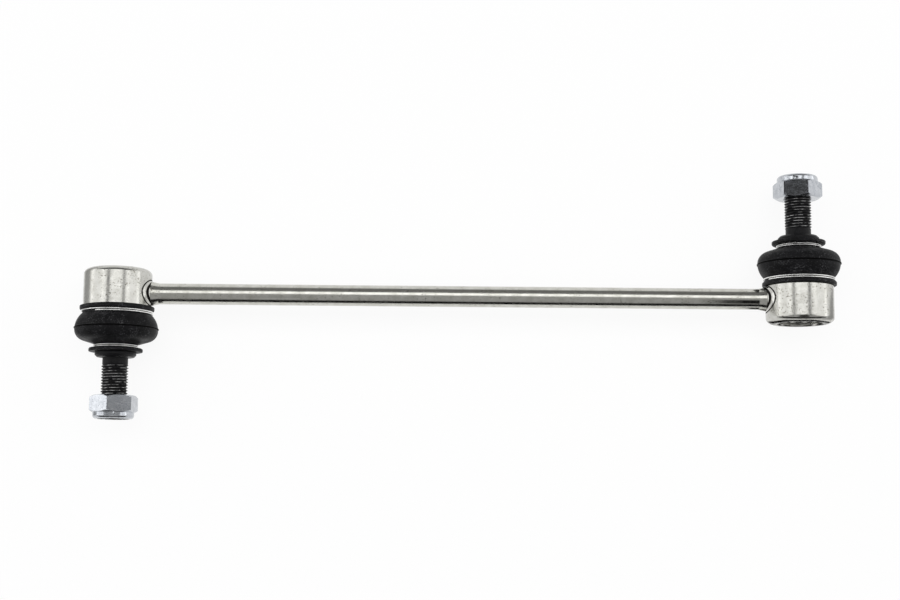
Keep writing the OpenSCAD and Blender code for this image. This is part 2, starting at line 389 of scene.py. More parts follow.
class Graph:
    """Adds nodes to one node tree and links them."""

    def __init__(self, tree: bpy.types.NodeTree) -> None:
        """Takes the tree and leaves what is in it."""
        self.tree = tree

    def feed(self, node: Node, inputs: dict) -> None:
        """Sets a node's inputs or links them.

        Args:
            node: The node.
            inputs: Values or sockets for its inputs, by name or number.
        """
        for key, value in inputs.items():
            if isinstance(value, Socket):
                self.tree.links.new(value, node.inputs[key])
            else:
                node.inputs[key].default_value = value

    def add(self, kind: str, inputs: dict | None = None, **settings: object) -> Node:
        """Adds one node.

        Args:
            kind: The node's type name.
            inputs: Values or sockets for the node's inputs, by name or number.
            **settings: Properties of the node itself.

        Returns:
            The new node.
        """
        node = self.tree.nodes.new(kind)
        for key, value in settings.items():
            setattr(node, key, value)
        self.feed(node, inputs or {})
        return node

    def place(self) -> Socket:
        """Adds the Object coordinates."""
        return self.add("ShaderNodeTexCoord").outputs["Object"]

    def noise(self, vector: Socket, scale: Value, detail: float = 3.0) -> Socket:
        """Adds a noise texture and gives its value."""
        inputs = {"Vector": vector, "Scale": scale, "Detail": detail}
        return self.add("ShaderNodeTexNoise", inputs).outputs["Fac"]

    def ramp(self, value: Socket, low: Value, high: Value, to_low: float = 0.0,
             to_high: float = 1.0) -> Socket:
        """Maps a value from one range to another, held at both ends."""
        inputs = {"Value": value, "From Min": low, "From Max": high, "To Min": to_low, "To Max": to_high}
        return self.add("ShaderNodeMapRange", inputs, clamp=True).outputs["Result"]

    def math(self, operation: str, a: Value, b: Value = 0.0) -> Socket:
        """Adds a Math node and gives its value."""
        return self.add("ShaderNodeMath", {0: a, 1: b}, operation=operation).outputs[0]

    def mix(self, share: Socket, a: Triple | Socket, b: Triple | Socket) -> Socket:
        """Mixes two colours, by the share of the second, and gives the result."""
        given = (share, *(side if isinstance(side, Socket) else (*side, 1.0) for side in (a, b)))
        return self.add("ShaderNodeMix", dict(zip(MIX_INPUTS, given)), data_type="RGBA").outputs[MIX_RESULT]

    def bump(self, shader: Node, height: Socket, depth: float) -> None:
        """Feeds a height to a shader's normal through a Bump node."""
        node = self.add("ShaderNodeBump", {"Height": height, "Distance": depth, "Strength": 1.0})
        self.feed(shader, {"Normal": node.outputs["Normal"]})


class Effect:
    """The shader node groups that several finishes share, with their numbers."""

    made: dict[str, bpy.types.ShaderNodeTree] = {}
    speck_detail = 2.0
    patch_share = 0.11
    patch_pull = 0.35
    speck_edge = 0.05
    mark_detail = 4.0
    broad_detail = 2.0
    broad_share = 0.22
    broad_range = (0.3, 0.7)
    cloud_detail = 5.0
    cloud_range = (0.32, 0.68)

    @classmethod
    def group(cls, name: str, inputs: tuple[str, ...], outputs: tuple[str, ...]) -> tuple[Graph, dict, Node]:
        """Starts a group with named sockets.

        Args:
            name: The group's name.
            inputs: Names of its inputs.
            outputs: Names of its outputs, which are all values.

        Returns:
            The group's graph, its inputs' sockets by name and its output node.
        """
        tree = bpy.data.node_groups.new(name, "ShaderNodeTree")
        for key in inputs:
            kind = "NodeSocketVector" if key in VECTOR_INPUTS else "NodeSocketFloat"
            tree.interface.new_socket(key, in_out="INPUT", socket_type=kind)
        for key in outputs:
            tree.interface.new_socket(key, in_out="OUTPUT", socket_type="NodeSocketFloat")
        cls.made[name] = tree
        graph = Graph(tree)
        start = graph.add("NodeGroupInput")
        return graph, {key: start.outputs[key] for key in inputs}, graph.add("NodeGroupOutput")

    @classmethod
    def specks(cls) -> None:
        """Builds the group of small pits and specks, gathered in patches."""
        graph, given, end = cls.group("Specks", ("Vector", "Scale", "Threshold"), ("Mask",))
        fine = graph.noise(given["Vector"], given["Scale"], cls.speck_detail)
        patch_scale = graph.math("MULTIPLY", given["Scale"], cls.patch_share)
        patch = graph.noise(given["Vector"], patch_scale, cls.speck_detail)
        patch = graph.math("SUBTRACT", patch, 0.5)
        lifted = graph.math("ADD", fine, graph.math("MULTIPLY", patch, cls.patch_pull))
        top = graph.math("ADD", given["Threshold"], cls.speck_edge)
        graph.feed(end, {"Mask": graph.ramp(lifted, given["Threshold"], top)})

    @classmethod
    def tool_marks(cls) -> None:
        """Builds the group of fine lines left by drawing or turning, on stretched coordinates."""
        graph, given, end = cls.group("Tool marks", ("Vector", "Stretch"), ("Tone", "Height"))
        sides = {0: given["Vector"], 1: given["Stretch"]}
        scaled = graph.add("ShaderNodeVectorMath", sides, operation="MULTIPLY").outputs["Vector"]
        broad = graph.noise(scaled, cls.broad_share, cls.broad_detail)
        tone = graph.ramp(broad, *cls.broad_range)
        graph.feed(end, {"Tone": tone, "Height": graph.noise(scaled, 1.0, cls.mark_detail)})

    @classmethod
    def clouding(cls) -> None:
        """Builds the group of broad, uneven clouding in a plated or moulded surface."""
        graph, given, end = cls.group("Clouding", ("Vector", "Scale"), ("Tone",))
        cloud = graph.noise(given["Vector"], given["Scale"], cls.cloud_detail)
        graph.feed(end, {"Tone": graph.ramp(cloud, *cls.cloud_range)})

    @classmethod
    def place(cls, graph: Graph, name: str, **inputs: object) -> bpy.types.NodeOutputs:
        """Places a group in a material's graph with its inputs and gives its outputs."""
        return graph.add("ShaderNodeGroup", inputs, node_tree=cls.made[name]).outputs


def new_material(name: str) -> tuple[Material, Graph, Node]:
    """Starts a material.

    Args:
        name: The material's name.

    Returns:
        The material, its graph and its Principled shader.
    """
    material = bpy.data.materials.new(name)
    material.use_nodes = True
    return material, Graph(material.node_tree), material.node_tree.nodes["Principled BSDF"]


@dataclass(frozen=True)
class PlatedSteel:
    """Zinc-plated or bright drawn steel, with tool marks, clouding and specks."""

    name: str
    colour: Triple
    clouded: Triple
    roughness: Pair
    stretch: Triple
    speck_scale: float
    speck_threshold: float
    speck_colour: Triple
    cloud_scale: float
    mark_depth: float

    def material(self) -> Material:
        """Builds the material.

        Returns:
            The new material.
        """
        material, graph, shader = new_material(self.name)
        place = graph.place()
        marks = Effect.place(graph, "Tool marks", Vector=place, Stretch=self.stretch)
        cloud = Effect.place(graph, "Clouding", Vector=place, Scale=self.cloud_scale)["Tone"]
        specks = Effect.place(graph, "Specks", Vector=place, Scale=self.speck_scale,
                              Threshold=self.speck_threshold)["Mask"]
        plated = graph.mix(cloud, self.colour, self.clouded)
        tone = graph.math("MULTIPLY", graph.math("ADD", marks["Tone"], cloud), 0.5)
        graph.feed(shader, {
            "Base Color": graph.mix(specks, plated, self.speck_colour),
            "Roughness": graph.ramp(tone, 0.0, 1.0, *self.roughness),
            "Metallic": 1.0,
        })
        graph.bump(shader, graph.math("SUBTRACT", marks["Height"], specks), self.mark_depth)
        return material


@dataclass(frozen=True)
class BlackedSteel:
    """Black phosphated steel, worn to bare metal on the thread's crests."""

    name: str
    colour: Triple
    bloom: Triple
    worn: Triple
    roughness: Pair
    axis_x: float
    crest: Pair
    grain_scale: float
    grain_depth: float
    shine: float
    cloud_share: float = 0.12
    speck_threshold: float = 0.58
    past_crest: Pair = (1.01, 1.03)
    patch_share: float = 0.3
    patch_range: Pair = (0.42, 0.66)
    bare: float = 0.9

    def wear(self, graph: Graph, place: Socket) -> Socket:
        """Works out the wear from the distance to the stud's axis.

        Args:
            graph: The material's graph.
            place: The Object coordinates.

        Returns:
            The share of bare metal.
        """
        parts = graph.add("ShaderNodeSeparateXYZ", {0: place}).outputs
        off_axis = graph.math("SUBTRACT", graph.math("ABSOLUTE", parts["X"]), self.axis_x)
        above = graph.math("ABSOLUTE", parts["Z"])
        square = graph.math("ADD", graph.math("POWER", off_axis, 2.0), graph.math("POWER", above, 2.0))
        from_axis = graph.math("SQRT", square)
        near_crest = graph.ramp(from_axis, *self.crest)
        past, gone = (self.crest[1] * share for share in self.past_crest)
        on_thread = graph.math("MULTIPLY", near_crest, graph.ramp(from_axis, past, gone, 1.0, 0.0))
        patchy = graph.ramp(graph.noise(place, self.grain_scale * self.patch_share), *self.patch_range)
        return graph.math("MULTIPLY", on_thread, patchy)

    def material(self) -> Material:
        """Builds the material.

        Returns:
            The new material.
        """
        material, graph, shader = new_material(self.name)
        place = graph.place()
        cloud_scale = self.grain_scale * self.cloud_share
        cloud = Effect.place(graph, "Clouding", Vector=place, Scale=cloud_scale)["Tone"]
        specks = Effect.place(graph, "Specks", Vector=place, Scale=self.grain_scale,
                              Threshold=self.speck_threshold)["Mask"]
        wear = self.wear(graph, place)
        graph.feed(shader, {
            "Base Color": graph.mix(wear, graph.mix(cloud, self.colour, self.bloom), self.worn),
            "Roughness": graph.ramp(cloud, 0.0, 1.0, *self.roughness),
            "Metallic": graph.math("MULTIPLY", wear, self.bare),
            "Specular IOR Level": self.shine,
        })
        graph.bump(shader, specks, self.grain_depth)
        return material


@dataclass(frozen=True)
class DustyRubber:
    """Black moulded rubber with a dusty bloom, fine light specks and its seam coloured black, as painted shade
    along the seam.
    """

    name: str
    colour: Triple
    bloom: Triple
    dust: Triple
    roughness: Pair
    speck_scale: float
    grain_depth: float
    shine: float
    cloud_share: float = 0.07
    speck_threshold: float = 0.6
    grain_share: float = 1.6

    def material(self) -> Material:
        """Builds the material, for a mesh that marks its seam with an attribute.

        Returns:
            The new material.
        """
        material, graph, shader = new_material(self.name)
        place = graph.place()
        cloud_scale = self.speck_scale * self.cloud_share
        cloud = Effect.place(graph, "Clouding", Vector=place, Scale=cloud_scale)["Tone"]
        specks = Effect.place(graph, "Specks", Vector=place, Scale=self.speck_scale,
                              Threshold=self.speck_threshold)["Mask"]
        seam = graph.add("ShaderNodeAttribute", attribute_name=SEAM_MARK).outputs["Fac"]
        dusty = graph.mix(specks, graph.mix(cloud, self.colour, self.bloom), self.dust)
        matt = graph.ramp(cloud, 0.0, 1.0, *self.roughness)
        graph.feed(shader, {
            # Painted shade: the seam's points are coloured black and made fully rough
            "Base Color": graph.mix(seam, dusty, BLACK),
            "Roughness": graph.math("MAXIMUM", matt, seam),
            "Specular IOR Level": self.shine,
        })
        graph.bump(shader, graph.noise(place, self.speck_scale * self.grain_share), self.grain_depth)
        return material


@dataclass(frozen=True)
class MouldedPlastic:
    """Unpainted moulded plastic with faint clouding."""

    name: str
    colour: Triple
    clouded: Triple
    roughness: Pair
    cloud_scale: float
    grain_share: float = 12.0
    grain_detail: float = 2.0
    grain_depth: float = 0.004 * MM

    def material(self) -> Material:
        """Builds the material.

        Returns:
            The new material.
        """
        material, graph, shader = new_material(self.name)
        place = graph.place()
        cloud = Effect.place(graph, "Clouding", Vector=place, Scale=self.cloud_scale)["Tone"]
        graph.feed(shader, {
            "Base Color": graph.mix(cloud, self.colour, self.clouded),
            "Roughness": graph.ramp(cloud, 0.0, 1.0, *self.roughness),
        })
        grain = graph.noise(place, self.cloud_scale * self.grain_share, self.grain_detail)
        graph.bump(shader, grain, self.grain_depth)
        return material


# Pieces


@dataclass(frozen=True)
class JointPlace:
    """Where one ball joint is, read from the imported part."""

    side: Side

    @property
    def axis_x(self) -> float:
        """The stud axis's place along the rod."""
        low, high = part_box(f"ball_stud_{self.side.word}")
        return (low.x + high.x) / 2

    @property
    def matrix(self) -> Matrix:
        """Lays an upright joint piece at its end of the rod."""
        turn = Matrix.Rotation(math.pi if self.side is Side.RIGHT else 0.0, 4, "Z")
        return Matrix.Translation((self.axis_x, 0, 0)) @ turn @ Matrix.Rotation(QUARTER_TURN, 4, "X")

    def node(self, piece: str) -> str:
        """A node's name at this end."""
        return f"{piece}_{self.side.word}"

    def body(self, name: str) -> str:
        """A moving body's name at this end."""
        return f"{self.side.word}_{name}"

    def span(self, piece: str) -> Pair:
        """Lowest and highest place of a node along the stud."""
        ends = [corner.y * self.side.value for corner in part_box(self.node(piece))]
        return min(ends), max(ends)

    def radius(self, piece: str) -> float:
        """Largest distance of a round node from the stud's axis."""
        low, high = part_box(self.node(piece))
        return (high.z - low.z) / 2

    def along(self, height: float) -> Vector:
        """A point on the stud's axis, in the part's frame."""
        return self.matrix @ Vector((0, 0, height))

    def mount(self, name: str) -> dict:
        """A mount of this end from the record."""
        return next(m for m in frame["record"]["mounts"] if m["name"] == self.body(name))

    def mount_height(self, name: str) -> float:
        """How far along the stud a mount lies."""
        return abs(self.mount(name)["pos_m"][1])

    @property
    def crest(self) -> float:
        """Radius over the crests of the stud's thread."""
        return self.mount("threaded_stud")["dims"]["r_mm"] * MM

    @property
    def ball_height(self) -> float:
        """How far along the stud the ball's centre lies."""
        joint = next(j for j in frame["joints"] if j["name"] == self.body("tilt"))
        return abs(joint["pos_m"][1])


@dataclass
class Rod:
    """The drawn rod with a flare at both ends."""

    finish: Material
    diameter: float = 9.4 * MM
    flare: float = 3.4 * MM
    bevel: float = 0.12 * MM

    def build(self) -> None:
        """Models the rod and hands it over."""
        low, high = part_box("rod")
        half, end_r, r = (high.x - low.x) / 2, (high.z - low.z) / 2, self.diameter / 2
        b, flare = self.bevel, self.flare
        profile = Profile((0, -half), (end_r - b, -half), (end_r, b - half, b), (r, flare - half, flare))
        profile.through((r, half - flare, flare), (end_r, half - b, b), (end_r - b, half), (0, half))
        piece = turned("link_rod", profile)
        complete(piece, Matrix.Rotation(QUARTER_TURN, 4, "Y"), self.finish, "rod")
        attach(piece, "link")


@dataclass
class WeldCollar:
    """The sloped weld bead between the rod and a housing, with a groove on each side of its crown whose faces
    carry painted shade.
    """

    place: JointPlace
    finish: Material
    # Near-black material for the painted shade in the grooves
    scale: Material
    seam: float = 5.45 * MM
    edge: float = 0.06 * MM
    outer_groove: float = 5.75 * MM
    oval: float = 1.38
    inner_groove: float = 0.5 * MM
    groove_width: float = 0.55 * MM
    groove_depth: float = 0.5 * MM
    skin: float = 0.02 * MM

    @property
    def plane(self) -> float:
        """How far from the stud's axis the bead meets the rod."""
        return abs(self.place.axis_x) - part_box("rod")[1].x

    def cone(self, name: str, shrink: float) -> Piece:
        """Turns a cone along the rod, in the joint's own frame.

        Args:
            name: Name of the new piece.
            shrink: How much smaller than the bead its radius is.

        Returns:
            The cone, longer than the bead where it is smaller.
        """
        root = (self.plane + self.seam) / 2
        profile = Profile((0, root - shrink), (root - shrink, root - shrink))
        profile.through((self.seam - shrink, self.plane, self.edge), (0, self.plane + shrink))
        return self.along_rod(turned(name, profile))

    @staticmethod
    def along_rod(piece: Piece, oval: float = 1.0) -> Piece:
        """Turns an upright piece to point along the rod and stretches it across rod and stud."""
        lay(piece, Matrix.Rotation(QUARTER_TURN, 4, "Y") @ Matrix.Diagonal((1, oval, 1, 1)))
        return piece

    @staticmethod
    def tube(name: str, inner: float, outer: float, low: float, high: float) -> Piece:
        """Turns a plain tube, or a rod where it has no inner radius, as a cutting tool."""
        profile = Profile((inner, low), (outer, low), (outer, high), (inner, high))
        return turned(name, profile, closed=inner > 0, steps=2 * TURN_STEPS)

    def build(self) -> None:
        """Models the bead, cuts its inner groove and hands it over."""
        wall, far = self.place.radius("housing"), 2 * self.plane
        bead = self.cone(f"weld_bead_{self.place.side.word}", 0.0)
        combine(bead, self.tube("wall", 0.0, wall - self.groove_depth, -far, far), "DIFFERENCE")
        plug = self.tube("plug", 0.0, self.outer_groove, 0.0, far)
        combine(bead, self.along_rod(plug, self.oval), "INTERSECT")
        line = wall + self.inner_groove
        tool = self.tube("line", line, line + self.groove_width, -far, far)
        combine(tool, self.cone("core", self.groove_depth), "DIFFERENCE")
        combine(bead, tool, "DIFFERENCE")
        place = self.place.matrix
        complete(bead, place, self.finish, self.place.node("weld_collar"))
        upright, crown = place.inverted(), self.seam + self.plane - self.skin
        # Painted shade: the inner groove's faces get the near-black material
        burn(bead, self.scale, lambda spot: self.in_line(upright @ spot, line - self.skin, crown))
        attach(bead, "link")

    def in_line(self, spot: Vector, line: float, crown: float) -> bool:
        """Tells whether a place on the bead lies between its inner groove's walls and under its surface."""
        off_stud, off_rod = math.hypot(spot.x, spot.y), math.hypot(spot.y, spot.z)
        return line < off_stud < line + self.groove_width + 2 * self.skin and spot.x + off_rod < crown

    def groove_tool(self) -> Piece:
        """Models the oval ring that cuts the outer groove into the housing.

        Returns:
            The cutting tool.
        """
        inner, far = self.outer_groove, 2 * self.plane
        tool = self.along_rod(self.tube("groove", inner, inner + self.groove_width, 0.0, far), self.oval)
        inside = self.place.radius("housing") - self.groove_depth
        combine(tool, self.tube("wall", 0.0, inside, -far, far), "DIFFERENCE")
        return tool

    def in_groove(self, spot: Vector, limit: float) -> bool:
        """Tells whether a place on the housing lies within a radius and in the outer groove's oval ring."""
        off_ring = math.hypot(spot.z, spot.y / self.oval) - self.outer_groove - self.groove_width / 2
        return spot.x > 0 and math.hypot(spot.x, spot.y) < limit and abs(off_ring) < self.groove_width


@dataclass
class Housing:
    """The ball joint's steel cup, with its rolled rim and the pressed cover in it."""

    place: JointPlace
    finish: Material
    # Near-black material for the painted shade in the outer groove
    scale: Material
    edge_height: float = 2.6 * MM
    edge_width: float = 3.6 * MM
    wall: float = 2.95 * MM
    mouth: float = 2.8 * MM
    groove: float = 1.75 * MM
    groove_height: float = 4.2 * MM
    rim_proud: float = 0.6 * MM
    rim: float = 0.8 * MM
    roll_width: float = 3.6 * MM
    roll_slope: float = 0.7 * MM
    cover_step: float = 1.1 * MM
    neck: float = 5.25 * MM
    swing: float = math.radians(25)
    swing_gap: float = 0.3 * MM
    broken: float = 0.2 * MM
    dimple: float = 6.15 * MM
    dimple_depth: float = 0.7 * MM

    def opening(self, height: float) -> float:
        """Radius of the cone that the stud's neck swings in, at a height."""
        start = self.neck / math.cos(self.swing) + self.swing_gap
        return start + (height - self.place.ball_height) * math.tan(self.swing)

    def build(self) -> None:
        """Models the cup and the cover and hands them over."""
        cover_base, cover_top = self.place.span("cover_plate")
        cover_top = cover_top - self.dimple_depth
        profile = self.profile(cover_base, cover_top)
        cup = turned(f"joint_housing_{self.place.side.word}", profile, closed=True, steps=2 * TURN_STEPS)
        weld = WeldCollar(self.place, self.finish, self.scale)
        combine(cup, weld.groove_tool(), "DIFFERENCE")
        place, limit = self.place.matrix, self.place.radius("housing") - weld.skin
        complete(cup, place, self.finish, self.place.node("housing"))
        upright = place.inverted()
        # Painted shade: the outer groove's faces get the near-black material
        burn(cup, self.scale, lambda spot: weld.in_groove(upright @ spot, limit))
        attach(cup, "link")
        self.build_cover(cover_base, cover_top)

    def profile(self, cover_base: float, cover_top: float) -> Profile:
        """Draws the cup's wall, up the outside and down the inside.

        Args:
            cover_base: Height of the cover's outer face.
            cover_top: Height of the cover's inner face, without the dimple.

        Returns:
            The closed profile.
        """
        base, top = self.place.span("housing")
        r, b = self.place.radius("housing"), self.broken
        groove, bore = r - self.groove, r - self.wall
        pocket, proud = bore + self.cover_step, groove + self.rim_proud
        ledge, shelf = top - self.rim, top - self.mouth
        shoulder, roll_r = ledge - self.groove_height, pocket - self.roll_width
        profile = Profile((roll_r + self.roll_slope, base, b))
        for i in range(ARC_STEPS + 1):
            a = QUARTER_TURN * i / ARC_STEPS
            inwards, up = self.edge_width * (1 - math.sin(a)), self.edge_height * (1 - math.cos(a))
            profile.through((r - inwards, base + up))
        profile.through((r, shoulder, b), (groove, shoulder, b / 2), (groove, ledge, b / 2))
        profile.through((proud, ledge, b / 2), (proud, top, b), (self.opening(top), top, b))
        profile.through((self.opening(shelf), shelf), (bore, shelf), (bore, cover_top))
        return profile.through((pocket, cover_top), (pocket, cover_base), (roll_r, cover_base, b))

    def build_cover(self, base: float, top: float) -> None:
        """Models the pressed cover plate.

        Args:
            base: Height of its outer face.
            top: Height of its inner face, without the dimple.
        """
        radius, deep, soft = self.place.radius("cover_plate"), self.dimple_depth, 2 * self.broken
        inner, outer = self.dimple - deep, self.dimple
        profile = Profile((0, base + deep), (inner, base + deep, soft), (outer, base, soft), (radius, base))
        profile.through((radius, top), (outer, top, soft), (inner, top + deep, soft), (0, top + deep))
        cover = turned(f"joint_cover_{self.place.side.word}", profile)
        node = self.place.node("cover_plate")
        complete(cover, self.place.matrix, self.finish, node)
        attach(cover, "link")


@dataclass
class BallStud:
    """The stud: ball, neck, boot seat, collar, shank and a rolled thread with a key socket in its tip."""

    place: JointPlace
    finish: Material
    ball: float = 9.0 * MM
    past_equator: float = 0.05
    neck: float = 5.25 * MM
    boot_seat: float = 6.8 * MM
    boot_seat_length: float = 5.4 * MM
    taper: float = 3.1 * MM
    collar: float = 9.15 * MM
    collar_height: float = 2.2 * MM
    collar_bevel: float = 0.9 * MM
    shank: float = 5.65 * MM
    pitch: float = 1.25 * MM
    tooth: Triple = (0.22, 0.54, 0.68)
    thread_depth: float = 0.68 * MM
    tip_bevel: float = 1.2 * MM
    socket_width: float = 5.0 * MM
    socket_depth: float = 5.0 * MM
    socket_bevel: float = 0.3 * MM
    socket_flare: float = 0.25 * MM
    broken: float = 0.2 * MM
    smooth: float = math.radians(28)

    def build(self) -> None:
        """Models the stud's lower part, thread and tip, joins them and hands the stud over."""
        start, tip = self.place.mount_height("threaded_stud"), self.place.span("ball_stud")[1]
        crest = self.place.crest
        parts = [self.shaft(start), self.thread(start, tip, crest)]
        stud = joined([*parts, self.tip_face(tip, crest - self.tip_bevel)])
        stud.name = stud.data.name = f"threaded_ball_stud_{self.place.side.word}"
        node = self.place.node("ball_stud")
        complete(stud, self.place.matrix, self.finish, node, self.smooth)
        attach(stud, self.place.body("stud"))

    def shaft(self, thread_start: float) -> Piece:
        """Models everything below the thread.

        Args:
            thread_start: Height at which the thread starts.

        Returns:
            The turned shaft, open where the thread goes on.
        """
        centre, b = (0, self.place.ball_height), self.broken
        top = self.place.mount_height("collar_seat")
        under = top - self.collar_height
        seat = under - self.boot_seat_length
        bevel = self.collar_bevel
        leave = math.acos(self.neck / self.ball)
        profile = Profile().arc(centre, self.ball, -QUARTER_TURN, 0)
        profile.arc(centre, self.ball, self.past_equator, leave)
        profile.through((self.neck, seat - self.taper, 4 * b), (self.boot_seat, seat, 4 * b))
        profile.through((self.boot_seat, under, b), (self.collar, under, b))
        profile.through((self.collar, top - bevel, b), (self.collar - bevel, top, b))
        profile.through((self.shank, top, 2 * b), (self.shank, thread_start))
        return turned("stud_shaft", profile)

    def thread(self, start: float, tip: float, crest: float) -> Piece:
        """Models the thread by screwing a saw-tooth line round the axis.

        Args:
            start: Height at which the thread runs out into the shank.
            tip: Height of the stud's end.
            crest: Radius over the crests.

        Returns:
            The thread, open at both ends.
        """
        piece, root, p = start_point("stud_thread"), crest - self.thread_depth, self.pitch
        teeth = math.ceil((tip - start) / p) + 2
        rise, flat, fall = (p * share for share in self.tooth)
        outline: list[Pair] = []
        for i in range(teeth):
            foot = start - p + i * p
            outline += [(root, foot), (root, foot + rise), (crest, foot + flat), (crest, foot + fall)]
        draw_wire(outline + [(root, start - p + teeth * p)])
        bpy.ops.object.mode_set(mode="OBJECT")
        modify(piece, "SCREW", screw_offset=p, steps=TURN_STEPS, render_steps=TURN_STEPS,
               use_smooth_shade=False)
        for point in piece.data.vertices:
            self.trim(point, start, tip, crest)
        return piece

    def trim(self, point: bpy.types.MeshVertex, start: float, tip: float, crest: float) -> None:
        """Fades one point of the thread into the shank and holds it inside the bevelled tip.

        Args:
            point: The mesh point, which is moved.
            start: Height at which the thread runs out.
            tip: Height of the stud's end.
            crest: Radius over the crests.
        """
        height = min(max(point.co.z, start), tip)
        radius = math.hypot(point.co.x, point.co.y)
        share = min(1.0, (height - start) / self.pitch)
        wanted = self.shank + (radius - self.shank) * share
        wanted = min(wanted, crest - self.tip_bevel + tip - height)
        point.co = (point.co.x * wanted / radius, point.co.y * wanted / radius, height)

    def tip_face(self, tip: float, radius: float) -> Piece:
        """Models the stud's end face with its hexagonal key socket.

        Args:
            tip: Height of the face.
            radius: The face's radius.

        Returns:
            The face, open round its edge.
        """
        bpy.ops.mesh.primitive_circle_add(vertices=TURN_STEPS, radius=radius, location=(0, 0, tip))
        piece = named("stud_tip")
        bpy.ops.object.transform_apply(location=True, rotation=False, scale=False)
        for depth in (0.0, self.socket_bevel, self.socket_depth - self.socket_bevel):
            self.sink(depth)
            bpy.ops.object.mode_set(mode="OBJECT")
            self.make_hexagon(piece, self.socket_width / 2 + (self.socket_flare if depth == 0 else 0))
        self.sink(self.socket_width / 4)
        bpy.ops.mesh.merge(type="CENTER")
        bpy.ops.object.mode_set(mode="OBJECT")
        return piece

    @staticmethod
    def sink(depth: float) -> None:
        """Extrudes the selected ring of edges downwards and stays in edit mode."""
        bpy.ops.object.mode_set(mode="EDIT")
        bpy.ops.mesh.extrude_edges_move(TRANSFORM_OT_translate={"value": (0, 0, -depth)})

    @staticmethod
    def make_hexagon(piece: Piece, apothem: float) -> None:
        """Moves the selected ring of points onto a hexagon.

        Args:
            piece: The piece, in object mode.
            apothem: Distance of the hexagon's flats from the axis.
        """
        sector = math.pi / 3
        for point in piece.data.vertices:
            if point.select:
                angle = math.atan2(point.co.y, point.co.x)
                radius = apothem / math.cos((angle % sector) - sector / 2)
                point.co.x, point.co.y = radius * math.cos(angle), radius * math.sin(angle)


